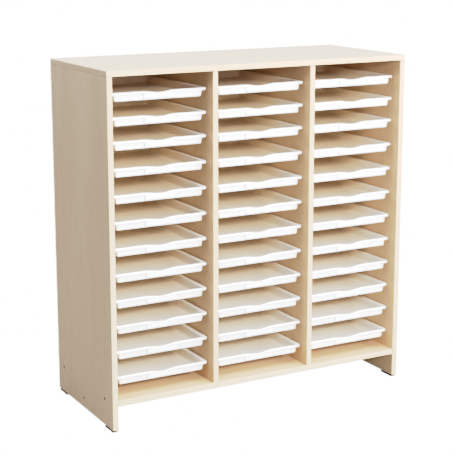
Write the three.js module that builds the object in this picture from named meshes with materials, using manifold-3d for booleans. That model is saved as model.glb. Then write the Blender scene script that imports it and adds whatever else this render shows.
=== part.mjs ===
// Classroom tray storage unit: an open wooden cabinet with three columns of
// shallow plastic trays that slide on runner strips.
// Millimetres, +Z up, front towards -Y, origin on the floor under the middle.

import * as THREE from 'three';
import { mergeVertices } from 'three/addons/utils/BufferGeometryUtils.js';
import Module from 'manifold-3d';

// ---------------------------------------------------------------- dimensions
const WIDTH = 960;            // over the side panels
const DEPTH = 400;            // front edge to back edge of the side panels
const HEIGHT = 1000;          // floor to the upper face of the top
const BOARD = 16;             // thickness of every main board
const GAP = 0.3;              // glue and joint gap between boards

const PAD_LENGTH = 52;        // pads under the side panels
const PAD_WIDTH = 15;
const PAD_HEIGHT = 6;
const PAD_INSET = 6;          // pad end to the panel's front or back edge

const BOTTOM_Z = 75;          // underside of the bottom panel
const BACK_THICK = 6;         // back panel
const BACK_Y = 193.4;         // its inner face
const RAIL_Y = 0;             // front face of the base rail
const RAIL_Z = 12;            // its lower edge

const COLUMNS = 3;
const ROWS = 12;
const ROW_PITCH = 73;         // tray to tray, from the third tray down
const UPPER_PITCH = 65.5;     // tray to tray between the three highest
const UPPER_STEPS = 2;
const FIRST_RIM_Z = 938;      // upper face of the highest tray's rim
const TRAY_FRONT_Y = -172;    // front of the rim, 28 mm behind the boards' edges

const RIM_WIDTH = 290;        // over the turned-down rim
const RIM_DEPTH = 364;        // its back ends close to the back panel
const RIM_HEIGHT = 7.5;
const RIM_WALL = 2;
const RIM_RADIUS = 9;
const BODY_WIDTH = 267;       // tray body under the rim
const BODY_FRONT = 2.5;       // rim front to body front
const BODY_BACK = 12;         // body back to rim back
const BODY_RADIUS = 6;
const BODY_LEAN_X = 4;        // inward lean of the body's side walls, top to bottom
const BODY_LEAN_Y = 1.5;      // inward lean of its front and back walls
const TRAY_HEIGHT = 25;
const TRAY_WALL = 2;
const TRAY_FLOOR = 2.2;
const TAB_WIDTH = 90;         // flat label tab in the middle of the front
const TAB_LOW = 4.5;          // tab's lower edge above the tray's underside
const SCOOP_WIDTH = 98;       // finger scoop in the front lip
const SCOOP_DEPTH = 4.8;

const RUNNER_REACH = 16;      // strip's reach from the board that carries it
const RUNNER_HEIGHT = 9;
const RUNNER_FRONT_Y = -136;
const RUNNER_BACK_Y = 192;
const RUNNER_PLAY = 0.3;      // rim to strip

const SCREW_HEAD_R = 4.5;
const SCREW_SHANK_R = 2.5;
const SCREW_LENGTH = 40;
const SCREW_PLAY = 0.3;
const SCREW_SIDES = 12;

// ------------------------------------------------------------ derived sizes
const X_OUT = WIDTH / 2;
const X_IN = X_OUT - BOARD;
const Y_FRONT = -DEPTH / 2;
const Y_BACK = DEPTH / 2;
const OPENING = (WIDTH - (COLUMNS + 1) * BOARD) / COLUMNS;
const TOP_Z = HEIGHT - BOARD;
const BOTTOM_TOP_Z = BOTTOM_Z + BOARD;
const CAVITY_BACK_Y = BACK_Y - GAP;
const rimZ = (row) => FIRST_RIM_Z - Math.min(row, UPPER_STEPS) * UPPER_PITCH
  - Math.max(row - UPPER_STEPS, 0) * ROW_PITCH;

// ------------------------------------------------------------ solid helpers
const wasm = await Module();
wasm.setup();

function solidOf(geometry) {
  const g = geometry.clone();
  g.deleteAttribute('normal');
  g.deleteAttribute('uv');
  const m = mergeVertices(g, 1e-4);
  return new wasm.Manifold(new wasm.Mesh({
    numProp: 3,
    vertProperties: new Float32Array(m.attributes.position.array),
    triVerts: new Uint32Array(m.index.array),
  }));
}

function geometryOf(solid) {
  const mesh = solid.getMesh();
  const g = new THREE.BufferGeometry();
  g.setAttribute('position', new THREE.BufferAttribute(new Float32Array(mesh.vertProperties), 3));
  g.setIndex(new THREE.BufferAttribute(new Uint32Array(mesh.triVerts), 1));
  g.computeVertexNormals();
  return g;
}

function block(x0, x1, y0, y1, z0, z1) {
  const g = new THREE.BoxGeometry(x1 - x0, y1 - y0, z1 - z0);
  g.translate((x0 + x1) / 2, (y0 + y1) / 2, (z0 + z1) / 2);
  return g;
}

// Rounded rectangle outline, centred on (0, cy)
function outline(width, depth, radius, cy) {
  const w = width / 2;
  const d = depth / 2;
  const s = new THREE.Shape();
  s.moveTo(-w + radius, cy - d);
  s.lineTo(w - radius, cy - d);
  s.absarc(w - radius, cy - d + radius, radius, -Math.PI / 2, 0, false);
  s.lineTo(w, cy + d - radius);
  s.absarc(w - radius, cy + d - radius, radius, 0, Math.PI / 2, false);
  s.lineTo(-w + radius, cy + d);
  s.absarc(-w + radius, cy + d - radius, radius, Math.PI / 2, Math.PI, false);
  s.lineTo(-w, cy - d + radius);
  s.absarc(-w + radius, cy - d + radius, radius, Math.PI, 1.5 * Math.PI, false);
  return s;
}

// Upright prism of a rounded rectangle whose lower end is drawn in by the leans
function prism(width, depth, radius, cy, z0, z1, leanX = 0, leanY = 0) {
  const g = new THREE.ExtrudeGeometry(outline(width, depth, radius, cy), {
    depth: z1 - z0, bevelEnabled: false, curveSegments: 1,
  });
  const p = g.attributes.position;
  for (let i = 0; i < p.count; i += 1) {
    if (p.getZ(i) < 1e-6 && leanX > 0) {
      p.setX(i, p.getX(i) * (width / 2 - leanX) / (width / 2));
      p.setY(i, cy + (p.getY(i) - cy) * (depth / 2 - leanY) / (depth / 2));
    }
  }
  g.translate(0, 0, z0);
  return g;
}

// Countersunk screw along -Y from its head's flat face at the origin
function screwProfile(play) {
  const h = SCREW_HEAD_R + play;
  const s = SCREW_SHANK_R + play;
  return [
    new THREE.Vector2(0, -SCREW_LENGTH - play),
    new THREE.Vector2(s, -SCREW_LENGTH + 3 - play),
    new THREE.Vector2(s, -4 - play),
    new THREE.Vector2(h, -1.6 - play),
    new THREE.Vector2(h, play > 0 ? 2 : 0),
    new THREE.Vector2(0, play > 0 ? 2 : 0),
  ];
}
const screwGeometry = new THREE.LatheGeometry(screwProfile(0), SCREW_SIDES);
const screwHole = new THREE.LatheGeometry(screwProfile(SCREW_PLAY), SCREW_SIDES);

// ------------------------------------------------------------------ screws
// Each entry: name, head position and the axis along which the head looks out.
const screws = [
  { name: 'screw_top_left_front', at: [-X_OUT + BOARD / 2, -138, HEIGHT], out: 'z' },
  { name: 'screw_top_left_middle', at: [-X_OUT + BOARD / 2, 36, HEIGHT], out: 'z' },
  { name: 'screw_top_right_front', at: [X_OUT - BOARD / 2, -138, HEIGHT], out: 'z' },
  { name: 'screw_top_right_middle', at: [X_OUT - BOARD / 2, 36, HEIGHT], out: 'z' },
  { name: 'screw_left_bottom_front', at: [-X_OUT, -143, BOTTOM_Z + BOARD / 2], out: '-x' },
  { name: 'screw_left_bottom_back', at: [-X_OUT, 158, BOTTOM_Z + BOARD / 2], out: '-x' },
  { name: 'screw_left_rail', at: [-X_OUT, RAIL_Y + BOARD / 2, 36], out: '-x' },
  { name: 'screw_right_bottom_front', at: [X_OUT, -143, BOTTOM_Z + BOARD / 2], out: 'x' },
  { name: 'screw_right_bottom_back', at: [X_OUT, 158, BOTTOM_Z + BOARD / 2], out: 'x' },
  { name: 'screw_right_rail', at: [X_OUT, RAIL_Y + BOARD / 2, 36], out: 'x' },
];

function turned(geometry, screw) {
  const g = geometry.clone();
  if (screw.out === 'z') g.rotateX(Math.PI / 2);
  if (screw.out === 'x') g.rotateZ(-Math.PI / 2);
  if (screw.out === '-x') g.rotateZ(Math.PI / 2);
  g.translate(...screw.at);
  return g;
}

// Cuts every screw's hole that meets the given board
function drilled(solid, wanted) {
  let s = solid;
  for (const screw of screws) {
    if (wanted.some((w) => screw.name.startsWith(w))) s = s.subtract(solidOf(turned(screwHole, screw)));
  }
  return s;
}

// ------------------------------------------------------------------ boards
// Runner strips on one face of an upright board; dir +1 reaches towards +X.
function withRunners(solid, faceX, dir) {
  let s = solid;
  for (let row = 0; row < ROWS; row += 1) {
    const top = rimZ(row) - RIM_HEIGHT - RUNNER_PLAY;
    const a = faceX - dir * 2;
    const b = faceX + dir * RUNNER_REACH;
    s = s.add(solidOf(block(
      Math.min(a, b), Math.max(a, b), RUNNER_FRONT_Y, RUNNER_BACK_Y, top - RUNNER_HEIGHT, top,
    )));
  }
  return s;
}

function sidePanel(dir) {
  const x0 = dir < 0 ? -X_OUT : X_IN;
  const plate = solidOf(block(x0, x0 + BOARD, Y_FRONT, Y_BACK, PAD_HEIGHT + GAP, TOP_Z - GAP));
  const side = dir < 0 ? 'left' : 'right';
  const holed = drilled(plate, [`screw_top_${side}`, `screw_${side}`]);
  return geometryOf(withRunners(holed, dir * X_IN, -dir));
}

function divider(index) {
  const x0 = -X_IN + (index + 1) * OPENING + index * BOARD;
  const plate = solidOf(block(
    x0, x0 + BOARD, Y_FRONT, CAVITY_BACK_Y, BOTTOM_TOP_Z + GAP, TOP_Z - GAP,
  ));
  const half = withRunners(plate, x0, -1);
  return geometryOf(withRunners(half, x0 + BOARD, 1));
}

const topPanel = geometryOf(drilled(
  solidOf(block(-X_OUT, X_OUT, Y_FRONT, Y_BACK, TOP_Z, HEIGHT)), ['screw_top'],
));
const bottomPanel = geometryOf(drilled(
  solidOf(block(-X_IN + GAP, X_IN - GAP, Y_FRONT, CAVITY_BACK_Y, BOTTOM_Z, BOTTOM_TOP_Z)),
  ['screw_left_bottom', 'screw_right_bottom'],
));
const baseRail = geometryOf(drilled(
  solidOf(block(-X_IN + GAP, X_IN - GAP, RAIL_Y, RAIL_Y + BOARD, RAIL_Z, BOTTOM_Z - GAP)),
  ['screw_left_rail', 'screw_right_rail'],
));
const backPanel = block(
  -X_IN + GAP, X_IN - GAP, BACK_Y, BACK_Y + BACK_THICK, BOTTOM_Z, TOP_Z - GAP,
);

// -------------------------------------------------------------------- tray
// Modelled with its underside at z = 0 and its middle at x = 0; y is the
// cabinet's own y.
function trayGeometry() {
  const rimMid = TRAY_FRONT_Y + RIM_DEPTH / 2;
  const bodyDepth = RIM_DEPTH - BODY_FRONT - BODY_BACK;
  const bodyMid = TRAY_FRONT_Y + BODY_FRONT + bodyDepth / 2;
  const rimLow = TRAY_HEIGHT - RIM_HEIGHT;

  const rim = solidOf(prism(RIM_WIDTH, RIM_DEPTH, RIM_RADIUS, rimMid, rimLow, TRAY_HEIGHT))
    .subtract(solidOf(prism(
      RIM_WIDTH - 2 * RIM_WALL, RIM_DEPTH - 2 * RIM_WALL, RIM_RADIUS - RIM_WALL, rimMid,
      rimLow - 5, TRAY_HEIGHT - RIM_WALL,
    )));
  const body = solidOf(prism(
    BODY_WIDTH, bodyDepth, BODY_RADIUS, bodyMid, 0, TRAY_HEIGHT - RIM_WALL / 2, BODY_LEAN_X, BODY_LEAN_Y,
  ));
  const tab = solidOf(block(
    -TAB_WIDTH / 2, TAB_WIDTH / 2, TRAY_FRONT_Y, TRAY_FRONT_Y + BODY_FRONT + BODY_LEAN_Y + 1,
    TAB_LOW, TRAY_HEIGHT - RIM_WALL / 2,
  ));
  const cavity = solidOf(prism(
    BODY_WIDTH - 2 * TRAY_WALL, bodyDepth - 2 * TRAY_WALL, BODY_RADIUS - TRAY_WALL, bodyMid,
    TRAY_FLOOR, TRAY_HEIGHT + 2, BODY_LEAN_X, BODY_LEAN_Y,
  ));

  // Scoop: a smooth dip, drawn in the front view and run through the lip
  const dip = new THREE.Shape();
  const steps = 6;
  dip.moveTo(-SCOOP_WIDTH / 2, TRAY_HEIGHT + 2);
  for (let i = 0; i <= steps; i += 1) {
    const u = -1 + (2 * i) / steps;
    dip.lineTo(
      u * SCOOP_WIDTH / 2,
      TRAY_HEIGHT - SCOOP_DEPTH * 0.5 * (1 + Math.cos(Math.PI * u)) + (Math.abs(u) === 1 ? 0.01 : 0),
    );
  }
  dip.lineTo(SCOOP_WIDTH / 2, TRAY_HEIGHT + 2);
  const scoop = new THREE.ExtrudeGeometry(dip, { depth: 14, bevelEnabled: false });
  scoop.rotateX(Math.PI / 2);
  scoop.translate(0, TRAY_FRONT_Y + 12, 0);

  return geometryOf(rim.add(body).add(tab).subtract(cavity).subtract(solidOf(scoop)));
}
const tray = trayGeometry();

// --------------------------------------------------------------- materials
const wood = () => new THREE.MeshStandardMaterial({ color: 0xd9c4a3, roughness: 0.55, metalness: 0 });
const thinWood = () => new THREE.MeshStandardMaterial({ color: 0xcfb48a, roughness: 0.65, metalness: 0 });
const whitePlastic = () => new THREE.MeshStandardMaterial({ color: 0xf3f4f5, roughness: 0.4, metalness: 0 });
const blackPlastic = () => new THREE.MeshStandardMaterial({ color: 0x161616, roughness: 0.7, metalness: 0 });
const steel = () => new THREE.MeshStandardMaterial({ color: 0x9a8c78, roughness: 0.45, metalness: 0.8 });

// ---------------------------------------------------------------- assembly
const unit = new THREE.Group();
unit.name = 'classroom_tray_unit';

function put(parent, name, geometry, material) {
  const mesh = new THREE.Mesh(geometry, material);
  mesh.name = name;
  parent.add(mesh);
  return mesh;
}

const cabinet = new THREE.Group();
unit.add(cabinet);
put(cabinet, 'side_left', sidePanel(-1), wood());
put(cabinet, 'side_right', sidePanel(1), wood());
put(cabinet, 'divider_left', divider(0), wood());
put(cabinet, 'divider_right', divider(1), wood());
put(cabinet, 'top_panel', topPanel, wood());
put(cabinet, 'bottom_panel', bottomPanel, wood());
put(cabinet, 'base_rail', baseRail, wood());
put(cabinet, 'back_panel', backPanel, thinWood());

for (const [side, x] of [['left', -X_OUT + BOARD / 2], ['right', X_OUT - BOARD / 2]]) {
  for (const [end, y] of [
    ['front', Y_FRONT + PAD_INSET + PAD_LENGTH / 2], ['back', Y_BACK - PAD_INSET - PAD_LENGTH / 2],
  ]) {
    put(cabinet, `pad_${side}_${end}`, block(
      x - PAD_WIDTH / 2, x + PAD_WIDTH / 2, y - PAD_LENGTH / 2, y + PAD_LENGTH / 2, 0, PAD_HEIGHT,
    ), blackPlastic());
  }
}
for (const screw of screws) put(cabinet, screw.name, turned(screwGeometry, screw), steel());

const columnNames = ['left', 'middle', 'right'];
for (let column = 0; column < COLUMNS; column += 1) {
  const stack = new THREE.Group();
  stack.position.x = (column - (COLUMNS - 1) / 2) * (OPENING + BOARD);
  unit.add(stack);
  for (let row = 0; row < ROWS; row += 1) {
    const number = String(row + 1).padStart(2, '0');
    const mesh = put(stack, `tray_${columnNames[column]}_${number}`, tray.clone(), whitePlastic());
    mesh.position.z = rimZ(row) - TRAY_HEIGHT;
  }
}

export default unit;
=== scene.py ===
"""Looks of the classroom tray storage unit: wooden boards, moulded trays, screws and pads."""

import math

import bmesh
import bpy
from mathutils import Matrix, Vector


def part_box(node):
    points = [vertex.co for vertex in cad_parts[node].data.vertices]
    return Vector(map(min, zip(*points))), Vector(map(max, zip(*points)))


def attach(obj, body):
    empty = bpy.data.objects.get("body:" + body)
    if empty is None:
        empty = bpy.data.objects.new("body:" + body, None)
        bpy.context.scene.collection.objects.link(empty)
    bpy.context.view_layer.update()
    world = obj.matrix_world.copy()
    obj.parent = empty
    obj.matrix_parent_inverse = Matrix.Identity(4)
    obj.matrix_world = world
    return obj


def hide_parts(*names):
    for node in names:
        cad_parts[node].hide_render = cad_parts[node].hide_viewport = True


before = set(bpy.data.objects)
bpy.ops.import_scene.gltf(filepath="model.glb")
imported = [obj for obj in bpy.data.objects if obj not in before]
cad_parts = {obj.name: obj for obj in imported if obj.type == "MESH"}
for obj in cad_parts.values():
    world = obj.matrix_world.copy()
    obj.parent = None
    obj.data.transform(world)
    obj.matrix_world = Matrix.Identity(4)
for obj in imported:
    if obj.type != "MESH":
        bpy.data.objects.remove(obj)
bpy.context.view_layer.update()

MM = 0.001
BOARD = 16 * MM
COLUMNS = ("left", "middle", "right")
ROWS = 12
SCENE = bpy.context.scene


# ------------------------------------------------------------------ node graphs
class Graph:
    """A material with a principled surface and short calls for its pattern nodes."""

    def __init__(self, name):
        self.material = bpy.data.materials.new(name)
        self.material.use_nodes = True
        self.tree = self.material.node_tree
        self.tree.nodes.clear()
        self.out = self.tree.nodes.new("ShaderNodeOutputMaterial")
        self.surface = self.tree.nodes.new("ShaderNodeBsdfPrincipled")
        self.tree.links.new(self.surface.outputs["BSDF"], self.out.inputs["Surface"])
        self.position = self.tree.nodes.new("ShaderNodeTexCoord").outputs["Object"]

    def put(self, socket, value):
        if isinstance(value, bpy.types.NodeSocket):
            self.tree.links.new(value, socket)
        else:
            socket.default_value = value

    def set(self, **values):
        for name, value in values.items():
            self.put(self.surface.inputs[name.replace("_", " ")], value)

    def mapped(self, scale, offset=(0.0, 0.0, 0.0)):
        node = self.tree.nodes.new("ShaderNodeMapping")
        self.put(node.inputs["Vector"], self.position)
        node.inputs["Scale"].default_value = scale
        node.inputs["Location"].default_value = offset
        return node.outputs["Vector"]

    def noise(self, vector, scale=1.0, detail=2.0, roughness=0.5, distortion=0.0):
        node = self.tree.nodes.new("ShaderNodeTexNoise")
        self.put(node.inputs["Vector"], vector)
        for name, value in (("Scale", scale), ("Detail", detail), ("Roughness", roughness), ("Distortion", distortion)):
            node.inputs[name].default_value = value
        return node.outputs["Fac"]

    def cells(self, vector, scale):
        node = self.tree.nodes.new("ShaderNodeTexVoronoi")
        self.put(node.inputs["Vector"], vector)
        node.inputs["Scale"].default_value = scale
        return node.outputs["Distance"]

    def math(self, operation, a, b=0.0, clamp=False):
        node = self.tree.nodes.new("ShaderNodeMath")
        node.operation = operation
        node.use_clamp = clamp
        self.put(node.inputs[0], a)
        self.put(node.inputs[1], b)
        return node.outputs["Value"]

    def span(self, value, low, high, to_low=0.0, to_high=1.0):
        node = self.tree.nodes.new("ShaderNodeMapRange")
        node.interpolation_type = "SMOOTHSTEP"
        for name, v in (("Value", value), ("From Min", low), ("From Max", high), ("To Min", to_low), ("To Max", to_high)):
            self.put(node.inputs[name], v)
        return node.outputs["Result"]

    def blend(self, factor, a, b, kind="MIX"):
        node = self.tree.nodes.new("ShaderNodeMix")
        node.data_type = "RGBA"
        node.blend_type = kind
        self.put(node.inputs[0], factor)
        self.put(node.inputs[6], a if isinstance(a, bpy.types.NodeSocket) else (*a, 1.0))
        self.put(node.inputs[7], b if isinstance(b, bpy.types.NodeSocket) else (*b, 1.0))
        return node.outputs[2]

    def bump(self, height, distance, strength=1.0):
        node = self.tree.nodes.new("ShaderNodeBump")
        node.inputs["Distance"].default_value = distance
        node.inputs["Strength"].default_value = strength
        self.put(node.inputs["Height"], height)
        return node.outputs["Normal"]


def wood(name, along, light, mid, line, shift=0.0, lines=0.14, rough=0.42, figure=9.0):
    """Pale laminate with its grain along one axis: broad tone, flowing growth lines, streaks, fibres and pores."""
    g = Graph(name)
    k = "xyz".index(along)

    def stretched(across, length):
        return tuple(length if i == k else across for i in range(3))

    move = (shift, shift * 0.7, shift * 1.3)
    broad = g.noise(g.mapped(stretched(figure, figure * 0.11), move), 1.0, 3.0, 0.55, 0.35)
    rings = g.math("SINE", g.math("MULTIPLY", broad, 95.0))
    rings = g.span(rings, 0.35, 1.0)
    streak = g.noise(g.mapped(stretched(190.0, 2.4), move), 1.0, 4.0, 0.6)
    fibre = g.noise(g.mapped(stretched(1500.0, 22.0), move), 1.0, 3.0, 0.6)
    pores = g.span(g.noise(g.mapped(stretched(800.0, 34.0), move), 1.0, 1.0, 0.4), 0.62, 0.74)
    clouds = g.noise(g.mapped(stretched(9.0, 3.5), move), 1.0, 2.0, 0.5)

    colour = g.blend(g.span(broad, 0.30, 0.70), light, mid)
    colour = g.blend(g.math("MULTIPLY", g.span(clouds, 0.38, 0.72), 0.35), colour, mid)
    colour = g.blend(g.math("MULTIPLY", rings, lines), colour, line)
    colour = g.blend(g.math("MULTIPLY", g.span(streak, 0.50, 0.78), 0.36), colour, line)
    colour = g.blend(g.math("MULTIPLY", g.span(streak, 0.46, 0.20), 0.30), colour, tuple(min(1.0, c * 1.06) for c in light))
    colour = g.blend(g.math("MULTIPLY", g.span(fibre, 0.45, 0.80), 0.16), colour, line)
    colour = g.blend(g.math("MULTIPLY", pores, 0.30), colour, tuple(c * 0.72 for c in line))
    g.set(Base_Color=colour)
    g.set(Roughness=g.span(fibre, 0.2, 0.8, rough - 0.05, rough + 0.09))
    height = g.math("SUBTRACT", g.math("MULTIPLY", fibre, 0.5), g.math("MULTIPLY", pores, 0.8))
    g.set(Normal=g.bump(height, 0.00012, 0.6))
    g.surface.inputs["Specular IOR Level"].default_value = 0.45
    return g.material


def plastic(name, base, cool, deep, rough, grain):
    """Moulded plastic: faint flow clouds, a fine spark-eroded grain, uneven gloss, and painted shade: a warm tint that
    grows away from the front.
    """
    g = Graph(name)
    apart = g.tree.nodes.new("ShaderNodeSeparateXYZ")
    g.put(apart.inputs[0], g.position)
    # painted shade: from just behind the front lip towards the back the colour turns to the deep tint, standing in for
    # the shade and warm bounce light deep in the slots
    back = g.span(apart.outputs["Y"], -0.166, 0.030)
    flow = g.noise(g.mapped((9.0, 5.0, 22.0)), 1.0, 3.0, 0.5, 0.4)
    fine = g.noise(g.mapped((1.0, 1.0, 1.0)), 1900.0, 2.0, 0.5)
    wide = g.noise(g.mapped((1.0, 1.0, 1.0)), 55.0, 2.0, 0.5)
    colour = g.blend(g.span(flow, 0.30, 0.72), base, cool)
    colour = g.blend(back, colour, g.blend(g.span(flow, 0.30, 0.72), deep, tuple(c * 0.96 for c in deep)))
    colour = g.blend(g.math("MULTIPLY", g.span(fine, 0.55, 0.80), 0.06), colour, tuple(c * 0.85 for c in cool))
    g.set(Base_Color=colour)
    g.set(Roughness=g.span(wide, 0.25, 0.75, rough - 0.05, rough + 0.06))
    g.set(Normal=g.bump(fine, 0.00006 * grain, 0.7))
    return g.material


def rubber(name):
    g = Graph(name)
    dust = g.noise(g.mapped((60.0, 60.0, 240.0)), 1.0, 4.0, 0.6)
    grain = g.cells(g.mapped((1.0, 1.0, 1.0)), 900.0)
    colour = g.blend(g.span(dust, 0.40, 0.78), (0.012, 0.012, 0.013), (0.045, 0.043, 0.040))
    g.set(Base_Color=colour)
    g.set(Roughness=g.span(dust, 0.3, 0.7, 0.55, 0.78))
    g.set(Normal=g.bump(grain, 0.00015, 0.6))
    return g.material


def steel(name):
    g = Graph(name)
    stain = g.noise(g.mapped((380.0, 380.0, 380.0)), 1.0, 3.0, 0.6)
    scratch = g.noise(g.mapped((2600.0, 700.0, 1500.0)), 1.0, 2.0, 0.5)
    colour = g.blend(g.span(stain, 0.35, 0.70), (0.15, 0.130, 0.110), (0.08, 0.068, 0.058))
    g.set(Base_Color=colour)
    g.set(Roughness=g.span(scratch, 0.3, 0.7, 0.45, 0.62))
    g.set(Normal=g.bump(scratch, 0.00004, 0.6))
    g.surface.inputs["Metallic"].default_value = 0.6
    return g.material


FACE_LIGHT, FACE_MID, FACE_LINE = (0.71, 0.565, 0.415), (0.67, 0.520, 0.370), (0.56, 0.410, 0.270)
EDGE_LIGHT, EDGE_MID, EDGE_LINE = (0.69, 0.565, 0.375), (0.66, 0.530, 0.345), (0.575, 0.440, 0.270)
# painted shade: a warmer, more saturated copy of the face laminate for the faces inside the unit and underneath it,
# standing in for their shade and warm bounce light
SHADED_LIGHT, SHADED_MID, SHADED_LINE = (0.71, 0.525, 0.335), (0.67, 0.485, 0.300), (0.56, 0.380, 0.215)
WOOD_UP = wood("birch_upright", "z", FACE_LIGHT, FACE_MID, FACE_LINE)
WOOD_TOP = wood("birch_top", "x", (0.77, 0.640, 0.475), (0.74, 0.605, 0.440), (0.63, 0.490, 0.330), shift=3.1)
SHADED_UP = wood("birch_inside", "z", SHADED_LIGHT, SHADED_MID, SHADED_LINE, shift=1.6)
SHADED_ACROSS = wood("birch_inside_across", "x", SHADED_LIGHT, SHADED_MID, SHADED_LINE, shift=7.2)
EDGE_UP = wood("edge_upright", "z", EDGE_LIGHT, EDGE_MID, EDGE_LINE, shift=5.7, lines=0.10, figure=16.0)
EDGE_ACROSS = wood("edge_across", "x", EDGE_LIGHT, EDGE_MID, EDGE_LINE, shift=8.3, lines=0.10, figure=16.0)
EDGE_DEEP = wood("edge_deep", "y", EDGE_LIGHT, EDGE_MID, EDGE_LINE, shift=2.2, lines=0.10, figure=16.0)
WOOD_END = wood("birch_end", "y", FACE_LIGHT, FACE_MID, FACE_LINE, shift=4.4, lines=0.2, figure=14.0)
# painted shade: the bottom board's top face, darker than the face laminate to stand in for the shade under the lowest
# trays
SHADED_LOW = wood("birch_low", "x", (0.64, 0.455, 0.290), (0.60, 0.420, 0.260), (0.50, 0.330, 0.190), shift=7.2)
# painted shade: the top board's underside, a dark brown copy of the laminate that darkens the top row's slot beneath it
SHADED_UNDER = wood("birch_under", "x", (0.54, 0.33, 0.13), (0.50, 0.30, 0.11), (0.41, 0.24, 0.08), shift=9.1)
WOOD_BACK = wood("back_board", "z", (0.68, 0.50, 0.31), (0.64, 0.46, 0.28), (0.52, 0.35, 0.20), shift=11.0, rough=0.55)
WOOD_RUNNER = wood("runner_strip", "y", (0.68, 0.51, 0.33), (0.64, 0.47, 0.30), (0.52, 0.36, 0.21), shift=6.4, rough=0.5, figure=20.0)
# painted shade: the inside's warmer white and both materials' deep tints stand in for the warm shade inside the slots
TRAY_OUT = plastic("tray_white", (0.87, 0.88, 0.895), (0.845, 0.86, 0.885), (0.86, 0.80, 0.69), 0.34, 1.0)
TRAY_IN = plastic("tray_white_inside", (0.86, 0.855, 0.84), (0.84, 0.835, 0.82), (0.85, 0.715, 0.535), 0.46, 1.2)
PAD = rubber("pad_black")
STEEL = steel("screw_steel")


# ------------------------------------------------------------------ mesh helpers
def new_object(name, mesh):
    obj = bpy.data.objects.new(name, mesh)
    SCENE.collection.objects.link(obj)
    return obj


def mesh_from(name, bm, materials):
    mesh = bpy.data.meshes.new(name)
    bmesh.ops.recalc_face_normals(bm, faces=bm.faces[:])
    bm.to_mesh(mesh)
    bm.free()
    for m in materials:
        mesh.materials.append(m)
    return mesh


def settle(obj):
    """Replaces the object's mesh by the one its modifiers give."""
    bpy.context.view_layer.update()
    graph = bpy.context.evaluated_depsgraph_get()
    made = bpy.data.meshes.new_from_object(obj.evaluated_get(graph), preserve_all_data_layers=True, depsgraph=graph)
    obj.modifiers.clear()
    made.name = obj.data.name
    obj.data = made
    return obj


def boolean(obj, other, operation):
    m = obj.modifiers.new("cut", "BOOLEAN")
    m.object = other
    m.operation = operation
    m.solver = "EXACT"
    settle(obj)
    mesh = other.data
    bpy.data.objects.remove(other)
    bpy.data.meshes.remove(mesh)
    return obj


def smooth(obj):
    """Soft edges: the wide flat faces keep their own direction and the rounded ones turn between them."""
    for p in obj.data.polygons:
        p.use_smooth = True
    m = obj.modifiers.new("soft", "WEIGHTED_NORMAL")
    m.mode = "FACE_AREA"
    m.weight = 90
    m.keep_sharp = False
    return settle(obj)


def rounded_box(bm, lo, hi, radius, steps=3):
    """Adds a box with rounded edges and gives its faces."""
    made = bmesh.ops.create_cube(bm, size=1.0)
    verts = made["verts"]
    size = Vector(hi) - Vector(lo)
    centre = (Vector(hi) + Vector(lo)) / 2
    for v in verts:
        v.co = Vector((v.co.x * size.x, v.co.y * size.y, v.co.z * size.z)) + centre
    edges = list({e for v in verts for e in v.link_edges})
    out = bmesh.ops.bevel(bm, geom=edges, offset=radius, segments=steps, profile=0.5, affect="EDGES", clamp_overlap=True)
    return out["faces"]


def lathe(bm, profile, steps):
    """Closed turned solid about Z; profile is (radius, z) from one end of the axis to the other."""
    rings = []
    for r, z in profile:
        if r < 1e-9:
            rings.append([bm.verts.new((0.0, 0.0, z))])
        else:
            rings.append([
                bm.verts.new((r * math.cos(2 * math.pi * i / steps), r * math.sin(2 * math.pi * i / steps), z))
                for i in range(steps)
            ])
    for a, b in zip(rings, rings[1:]):
        for i in range(steps):
            j = (i + 1) % steps
            if len(a) == 1:
                bm.faces.new((a[0], b[i], b[j]))
            elif len(b) == 1:
                bm.faces.new((a[i], b[0], a[j]))
            else:
                bm.faces.new((a[i], b[i], b[j], a[j]))


# ------------------------------------------------------------------------ screws
HEAD_R, SHANK_R, SCREW_LONG = 4.5 * MM, 2.5 * MM, 40 * MM


def screw_places():
    """Each screw's name, the middle of its head's face and the turn that points its head outwards."""
    found = {}
    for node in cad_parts:
        if not node.startswith("screw_"):
            continue
        lo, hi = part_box(node)
        mid = (lo + hi) / 2
        if node.startswith("screw_top"):
            found[node] = (Vector((mid.x, mid.y, hi.z)), Matrix.Identity(4))
        elif node.startswith("screw_left"):
            found[node] = (Vector((lo.x, mid.y, mid.z)), Matrix.Rotation(-math.pi / 2, 4, "Y"))
        else:
            found[node] = (Vector((hi.x, mid.y, mid.z)), Matrix.Rotation(math.pi / 2, 4, "Y"))
    return found


SCREWS = screw_places()


def drill(names):
    """One cutter for the countersunk holes of these screws."""
    bm = bmesh.new()
    play = 0.25 * MM
    profile = [
        (0.0, -SCREW_LONG - 1 * MM), (SHANK_R + play, -SCREW_LONG - 0.5 * MM), (SHANK_R + play, -4.2 * MM),
        (HEAD_R + play, -1.8 * MM), (HEAD_R + play, 2 * MM), (0.0, 2 * MM),
    ]
    for name in names:
        one = bmesh.new()
        lathe(one, profile, 28)
        at, turn = SCREWS[name]
        one.transform(Matrix.Translation(at) @ turn)
        mesh = bpy.data.meshes.new("one")
        one.to_mesh(mesh)
        one.free()
        bm.from_mesh(mesh)
        bpy.data.meshes.remove(mesh)
    return new_object("drill", mesh_from("drill", bm, []))


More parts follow.
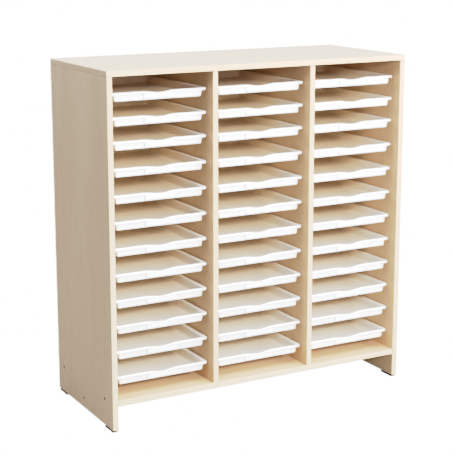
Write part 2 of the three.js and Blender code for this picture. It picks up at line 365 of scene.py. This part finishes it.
def screw_mesh():
    bm = bmesh.new()
    profile = [(0.0, 0.0), (HEAD_R - 0.35 * MM, 0.0), (HEAD_R - 0.1 * MM, -0.12 * MM), (HEAD_R, -0.4 * MM), (HEAD_R, -1.4 * MM), (SHANK_R, -3.9 * MM)]
    pitch, z = 2.2 * MM, -8 * MM
    profile.append((SHANK_R, z))
    while z > -SCREW_LONG + 5 * MM:
        profile += [(SHANK_R - 0.7 * MM, z - pitch * 0.25), (SHANK_R - 0.7 * MM, z - pitch * 0.6), (SHANK_R, z - pitch * 0.95), (SHANK_R, z - pitch)]
        z -= pitch
    profile += [(SHANK_R - 0.8 * MM, z - 0.8 * MM), (0.0, -SCREW_LONG)]
    lathe(bm, profile, 28)
    obj = new_object("screw", mesh_from("screw", bm, [STEEL]))
    cross = bmesh.new()
    for turn in (0.0, math.pi / 2):
        one = bmesh.ops.create_cube(cross, size=1.0)
        for v in one["verts"]:
            narrow = 1.0 if v.co.z > 0 else 0.55
            p = Vector((v.co.x * 5.2 * MM * narrow, v.co.y * 1.15 * MM * narrow, v.co.z * 3.6 * MM - 0.3 * MM))
            v.co = Matrix.Rotation(turn, 3, "Z") @ p
    cutter = new_object("cross", mesh_from("cross", cross, [STEEL]))
    m = obj.modifiers.new("cut", "BOOLEAN")
    m.object, m.operation, m.solver, m.use_self = cutter, "DIFFERENCE", "EXACT", True
    settle(obj)
    mesh = cutter.data
    bpy.data.objects.remove(cutter)
    bpy.data.meshes.remove(mesh)
    for p in obj.data.polygons:
        p.use_smooth = False
    made = obj.data
    bpy.data.objects.remove(obj)
    return made


def keep(obj, body, slot, *nodes):
    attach(obj, body)
    if nodes:
        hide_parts(*nodes)
    return obj


SCREW = screw_mesh()
for node, (at, turn) in SCREWS.items():
    obj = new_object("steel_" + node, SCREW)
    spin = (sum(ord(c) for c in node) % 9) * 0.17
    obj.matrix_world = Matrix.Translation(at) @ turn @ Matrix.Rotation(spin, 4, "Z")
    keep(obj, "cabinet", "screw_steel", node)


# ------------------------------------------------------------------------ boards
def board(name, lo, hi, flat, low, high, edges, radius=1.2 * MM, holes=()):
    """A board with rounded edges: `flat` is its thin axis, `low` and `high` the materials of its two faces, `edges` of
    its edges by axis. Some face materials are laminate copies with painted shade.
    """
    bm = bmesh.new()
    rounded_box(bm, lo, hi, radius)
    bm.normal_update()
    board_materials = [low, high] + [m for m in edges.values()]
    order = {axis: i + 2 for i, axis in enumerate(edges)}
    for f in bm.faces:
        n = [abs(c) for c in f.normal]
        if n["xyz".index(flat)] > 0.93:
            f.material_index = 0 if f.normal["xyz".index(flat)] < 0 else 1
        else:
            rest = [("xyz"[i], n[i]) for i in range(3) if "xyz"[i] in order]
            f.material_index = order[max(rest, key=lambda r: r[1])[0]]
    obj = new_object(name, mesh_from(name, bm, board_materials))
    if holes:
        cutter = drill(holes)
        for m in board_materials:
            cutter.data.materials.append(m)
        boolean(obj, cutter, "DIFFERENCE")
    return smooth(obj)


lo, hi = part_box("side_left")
side = board(
    "side_left_board", lo, (lo.x + BOARD, hi.y, hi.z), "x", WOOD_UP, SHADED_UP, {"y": EDGE_UP, "z": EDGE_DEEP},
    holes=[n for n in SCREWS if n.startswith(("screw_top_left", "screw_left"))],
)
keep(side, "cabinet", "board", "side_left")
lo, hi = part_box("side_right")
side = board(
    "side_right_board", (hi.x - BOARD, lo.y, lo.z), hi, "x", SHADED_UP, WOOD_UP, {"y": EDGE_UP, "z": EDGE_DEEP},
    holes=[n for n in SCREWS if n.startswith(("screw_top_right", "screw_right"))],
)
keep(side, "cabinet", "board", "side_right")
for node in ("divider_left", "divider_right"):
    lo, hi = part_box(node)
    mid = (lo.x + hi.x) / 2
    obj = board(
        node + "_board", (mid - BOARD / 2, lo.y, lo.z), (mid + BOARD / 2, hi.y, hi.z), "x", SHADED_UP, SHADED_UP,
        {"y": EDGE_UP, "z": EDGE_DEEP},
    )
    keep(obj, "cabinet", "board", node)
obj = board(
    "top_board", *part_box("top_panel"), "z", SHADED_UNDER, WOOD_TOP, {"y": EDGE_ACROSS, "x": WOOD_END},
    holes=[n for n in SCREWS if n.startswith("screw_top")],
)
keep(obj, "cabinet", "board", "top_panel")
obj = board(
    "bottom_board", *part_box("bottom_panel"), "z", SHADED_ACROSS, SHADED_LOW, {"y": EDGE_ACROSS, "x": EDGE_DEEP},
    holes=[n for n in SCREWS if "_bottom_" in n],
)
keep(obj, "cabinet", "board", "bottom_panel")
obj = board(
    "base_rail_board", *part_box("base_rail"), "y", SHADED_ACROSS, SHADED_ACROSS, {"z": EDGE_ACROSS, "x": EDGE_UP},
    holes=[n for n in SCREWS if n.endswith("_rail")],
)
keep(obj, "cabinet", "board", "base_rail")
obj = board("back_thin_board", *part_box("back_panel"), "y", WOOD_BACK, WOOD_BACK, {"z": WOOD_BACK, "x": WOOD_BACK}, radius=0.5 * MM)
keep(obj, "cabinet", "back_board", "back_panel")


# ----------------------------------------------------------------------- runners
def runners(name, face_x, reach, node):
    """Twelve strips on one face of an upright, with a lead-in on the front end; reach is signed."""
    bm = bmesh.new()
    front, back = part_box(node)[0].y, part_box(node)[1].y
    front, back = -136 * MM, min(192 * MM, back)
    for row in range(ROWS):
        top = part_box(f"tray_left_{row + 1:02d}")[1].z - 7.8 * MM
        low = top - 9 * MM
        plan = [(0.0, front), (abs(reach) - 6 * MM, front), (abs(reach), front + 14 * MM), (abs(reach), back), (0.0, back)]
        ring = [[bm.verts.new((face_x + math.copysign(x, reach), y, z)) for x, y in plan] for z in (low, top)]
        made = [bm.faces.new(ring[0]), bm.faces.new(ring[1])]
        for i in range(len(plan)):
            j = (i + 1) % len(plan)
            made.append(bm.faces.new((ring[0][i], ring[0][j], ring[1][j], ring[1][i])))
        bmesh.ops.recalc_face_normals(bm, faces=made)
        edges = list({e for f in made for e in f.edges})
        bmesh.ops.bevel(bm, geom=edges, offset=0.9 * MM, segments=2, profile=0.5, affect="EDGES", clamp_overlap=True)
    obj = new_object(name, mesh_from(name, bm, [WOOD_RUNNER]))
    return keep(smooth(obj), "cabinet", "board")


REACH = 16 * MM
lo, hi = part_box("side_left")
runners("runners_side_left", lo.x + BOARD, REACH, "side_left")
lo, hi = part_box("side_right")
runners("runners_side_right", hi.x - BOARD, -REACH, "side_right")
for node in ("divider_left", "divider_right"):
    lo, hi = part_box(node)
    mid = (lo.x + hi.x) / 2
    runners("runners_" + node + "_a", mid - BOARD / 2, -REACH, node)
    runners("runners_" + node + "_b", mid + BOARD / 2, REACH, node)


# -------------------------------------------------------------------------- pads
for node in sorted(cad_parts):
    if not node.startswith("pad_"):
        continue
    bm = bmesh.new()
    rounded_box(bm, *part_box(node), 0.8 * MM, 3)
    keep(smooth(new_object("rubber_" + node, mesh_from("rubber_" + node, bm, [PAD]))), "cabinet", "pad_black", node)


# ------------------------------------------------------------------------- trays
# All in millimetres, with the tray's underside at z = 0 and its middle at x = 0.
TALL, SKIRT_LOW, SCOOP_HALF, SCOOP_DEEP = 25.0, 17.5, 49.0, 4.8
ARC = 6
FRONT_X = [-95.0, -62.0] + [SCOOP_HALF * (i / 10 - 1) for i in range(21)] + [62.0, 95.0]


def rim_box(o, front=None):
    """Outline of the rim drawn in by o; front is how far its front is drawn in."""
    return 145 - o, -172 + (o if front is None else front), 192 - o, max(9 - o, 2)


def body_box(x, y):
    """Outline of the body drawn in by x at its sides and by y at its front and back."""
    return 133.5 - x, -169.5 + y, 180 - y, max(6 - (x + y) / 2, 3)


def inner(z, more=0.0):
    lean = (27 - z) / 24.8
    return body_box(2 + 4 * lean + more, 2 + 1.5 * lean + more)


def outer(z, more=0.0):
    lean = (24 - z) / 24
    return body_box(4 * lean + more, 1.5 * lean + more)


def tray_ring(box, z):
    hx, yf, yb, r = box
    pts = []

    def arc(cx, cy, start):
        for i in range(ARC + 1):
            a = math.radians(start + 90 * i / ARC)
            pts.append((cx + r * math.cos(a), cy + r * math.sin(a), z))

    for x in FRONT_X:
        deep = SCOOP_DEEP * 0.5 * (1 + math.cos(math.pi * x / SCOOP_HALF)) if abs(x) < SCOOP_HALF else 0.0
        low = SKIRT_LOW + (z - SKIRT_LOW) * (1 - deep / (TALL - SKIRT_LOW)) if z > SKIRT_LOW else z
        pts.append((x, yf, low))
    arc(hx - r, yf + r, -90)
    for t in (0.25, 0.5, 0.75):
        pts.append((hx, yf + r + (yb - yf - 2 * r) * t, z))
    arc(hx - r, yb - r, 0)
    for t in (0.25, 0.5, 0.75):
        pts.append((hx - r - (2 * hx - 2 * r) * t, yb, z))
    arc(-hx + r, yb - r, 90)
    for t in (0.25, 0.5, 0.75):
        pts.append((-hx, yb - r - (yb - yf - 2 * r) * t, z))
    arc(-hx + r, yf + r, 180)
    return pts


def tray_rings():
    """(outline, height, inside?) from the middle of the floor, over the rim, to the middle of the underside."""
    rows = []
    for i in range(5):
        a = math.radians(90 * i / 4)
        rows.append((inner(8.2, 6 * (1 - math.sin(a))), 2.2 + 6 * (1 - math.cos(a)), True))
    rows += [(inner(15), 15, True), (inner(22.5), 22.5, True)]
    for a in (0, 30, 60, 90):
        a = math.radians(a)
        rows.append((inner(23.4, -1.4 * (1 - math.cos(a))), 23.4 + 1.6 * math.sin(a), True))
    for a in (0, 22, 45, 68, 90):
        a = math.radians(a)
        rows.append((rim_box(2.6 * (1 - math.sin(a))), TALL - 2.6 * (1 - math.cos(a)), a == 0))
    skirt = (
        (0.0, 0.0, 18.3), (0.22, 0.15, 17.72), (0.75, 0.4, 17.5), (1.3, 0.8, 17.5), (1.8, 1.05, 17.75),
        (2.0, 1.2, 18.3), (2.0, 1.2, 21.8), (2.4, 1.3, 22.7), (3.1, 1.5, 23.0),
    )
    rows += [(rim_box(o, front), z, False) for o, front, z in skirt]
    rows += [(body_box(-0.9, -0.7), 23.0, False), (body_box(-0.1, -0.1), 22.7, False), (outer(21.6), 21.6, False)]
    rows += [(outer(14.9), 14.9, False)]
    for i in range(5):
        a = math.radians(90 * i / 4)
        rows.append((outer(4.0, 4 * (1 - math.cos(a))), 4 * (1 - math.sin(a)), False))
    return rows


def tray_mesh():
    bm = bmesh.new()
    rows = tray_rings()
    rings = [[bm.verts.new(Vector(p) * MM) for p in tray_ring(box, z)] for box, z, _ in rows]
    count = len(rings[0])
    bm.faces.new(rings[0]).material_index = 1
    bm.faces.new(rings[-1])
    for k in range(len(rings) - 1):
        a, b = rings[k], rings[k + 1]
        for i in range(count):
            j = (i + 1) % count
            bm.faces.new((a[i], a[j], b[j], b[i])).material_index = 1 if rows[k][2] and rows[k + 1][2] else 0
    obj = new_object("tray", mesh_from("tray", bm, [TRAY_OUT, TRAY_IN]))

    # Label tab in the middle of the front, its back leaning inside the wall behind it
    low, high = 4.6, 18.4
    tab = bmesh.new()
    rounded_box(tab, Vector((-45.0, -171.4, low)) * MM, Vector((45.0, -166.0, high)) * MM, 0.6 * MM, 2)
    for v in tab.verts:
        if v.co.y > -169 * MM:
            v.co.y += (-1.2 - 0.95 * (v.co.z / MM - low) / (high - low)) * MM
    cutter = new_object("tab", mesh_from("tab", tab, [TRAY_OUT, TRAY_IN]))
    boolean(obj, cutter, "UNION")
    smooth(obj)
    made = obj.data
    bpy.data.objects.remove(obj)
    return made


TRAY = tray_mesh()
for column in COLUMNS:
    for row in range(ROWS):
        node = f"tray_{column}_{row + 1:02d}"
        lo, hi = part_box(node)
        obj = new_object("white_" + node, TRAY)
        obj.location = ((lo.x + hi.x) / 2, 0.0, lo.z)
        keep(obj, node, "tray_plastic", node)


# ------------------------------------------------------------------------- stage
WHITE = 2.4  # brightness that comes out as pure white


def floor():
    """White studio floor: evenly bright where it is seen, a plain matt surface for the light that meets it."""
    bm = bmesh.new()
    bmesh.ops.create_grid(bm, x_segments=2, y_segments=2, size=60.0)
    g = Graph("floor_white")
    g.surface.inputs["Base Color"].default_value = (0.22, 0.215, 0.205, 1.0)
    g.surface.inputs["Roughness"].default_value = 0.9
    g.surface.inputs["Specular IOR Level"].default_value = 0.1
    nodes, links = g.tree.nodes, g.tree.links
    glow = nodes.new("ShaderNodeEmission")
    glow.inputs["Color"].default_value = (1.0, 1.0, 1.0, 1.0)
    glow.inputs["Strength"].default_value = WHITE
    clear = nodes.new("ShaderNodeBsdfTransparent")
    path = nodes.new("ShaderNodeLightPath")
    side = nodes.new("ShaderNodeNewGeometry")
    seen = nodes.new("ShaderNodeMixShader")
    either = nodes.new("ShaderNodeMixShader")
    links.new(path.outputs["Is Camera Ray"], seen.inputs[0])
    links.new(g.surface.outputs[0], seen.inputs[1])
    links.new(glow.outputs[0], seen.inputs[2])
    links.new(side.outputs["Backfacing"], either.inputs[0])
    links.new(seen.outputs[0], either.inputs[1])
    links.new(clear.outputs[0], either.inputs[2])
    links.new(either.outputs[0], g.out.inputs["Surface"])
    obj = new_object("floor", mesh_from("floor", bm, [g.material]))
    obj.location.z = -0.0005
    return obj


FLOOR = floor()


def sun(name, strength, azimuth, elevation, spread, colour=(1.0, 1.0, 1.0)):
    """Soft light from a compass direction: azimuth 0 is straight in front, positive to the right."""
    lamp = bpy.data.lights.new(name, "SUN")
    lamp.energy, lamp.angle, lamp.color = strength, math.radians(spread), colour
    obj = bpy.data.objects.new(name, lamp)
    SCENE.collection.objects.link(obj)
    a, e = math.radians(azimuth), math.radians(elevation)
    towards = Vector((math.sin(a) * math.cos(e), -math.cos(a) * math.cos(e), math.sin(e)))
    obj.rotation_mode = "QUATERNION"
    obj.rotation_quaternion = towards.to_track_quat("Z", "Y")
    return obj


def panel_light(name, power, size, at, aim):
    lamp = bpy.data.lights.new(name, "AREA")
    lamp.energy, lamp.shape, lamp.size = power, "DISK", size
    obj = bpy.data.objects.new(name, lamp)
    SCENE.collection.objects.link(obj)
    obj.location = at
    obj.rotation_mode = "QUATERNION"
    obj.rotation_quaternion = (Vector(aim) - Vector(at)).to_track_quat("-Z", "Y")
    return obj


panel_light("key", 203.0, 0.45, (-0.1, -3.75, 1.85), (0.0, 0.0, 0.5))
panel_light("front", 40.0, 2.6, (0.3, -3.7, 1.1), (0.0, 0.0, 0.5))
sun("fill", 0.58, -105, 14, 60)
sun("behind", 1.1, -162, 6, 40)
sun("overhead", 4.9, 20, 74, 60)
panel_light("side", 42.0, 1.0, (1.9, -2.0, 1.2), (0.3, 0.0, 0.5))

WORLD = bpy.data.worlds.new("studio")
SCENE.world = WORLD
WORLD.use_nodes = True
tree = WORLD.node_tree
tree.nodes.clear()


def backdrop(strength):
    node = tree.nodes.new("ShaderNodeBackground")
    node.inputs["Color"].default_value = (1.0, 1.0, 1.0, 1.0)
    node.inputs["Strength"].default_value = strength
    return node.outputs[0]


def either(factor, a, b):
    node = tree.nodes.new("ShaderNodeMixShader")
    for socket, value in zip(node.inputs, (factor, a, b)):
        tree.links.new(value, socket)
    return node.outputs[0]


path = tree.nodes.new("ShaderNodeLightPath")
end = tree.nodes.new("ShaderNodeOutputWorld")
lit = either(path.outputs["Is Glossy Ray"], backdrop(0.20), backdrop(1.0))
tree.links.new(either(path.outputs["Is Camera Ray"], lit, backdrop(WHITE)), end.inputs["Surface"])

SCENE.cycles.max_bounces = 14
SCENE.cycles.diffuse_bounces = 10
SCENE.view_settings.view_transform = "Standard"
SCENE.view_settings.look = "None"
SCENE.view_settings.exposure = 0.0
SCENE.view_settings.gamma = 1.0
SCENE.view_settings.use_curve_mapping = True
TONES = SCENE.view_settings.curve_mapping
TONES.white_level = (WHITE, WHITE, WHITE)
SHOULDER = (
    (0.1, 0.1), (0.3, 0.3), (0.5, 0.49), (0.7, 0.62), (0.9, 0.69), (1.2, 0.76), (1.5, 0.81), (1.8, 0.865), (2.1, 0.93),
)
for x, y in SHOULDER:
    TONES.curves[3].points.new(x / WHITE, y)
TONES.update()

# ------------------------------------------------------------------------ camera
AZIMUTH, ELEVATION, FOCAL_PX, FRAME_PX = -28.993, 11.823, 1260.449, 455.0
lens = bpy.data.cameras.new("camera")
lens.sensor_width = 36.0
lens.sensor_fit = "HORIZONTAL"
lens.lens = 36.0 * FOCAL_PX / FRAME_PX
lens.shift_x = 0.0
lens.shift_y = -0.06
lens.clip_start, lens.clip_end = 0.05, 500.0
camera = bpy.data.objects.new("camera", lens)
SCENE.collection.objects.link(camera)
a, e = math.radians(AZIMUTH), math.radians(ELEVATION)
back = Vector((math.sin(a) * math.cos(e), -math.cos(a) * math.cos(e), math.sin(e)))
camera.location = (-1.790515, -3.213918, 1.342737)
camera.rotation_mode = "QUATERNION"
camera.rotation_quaternion = (-back).to_track_quat("-Z", "Y")
SCENE.camera = camera

bpy.context.view_layer.update()
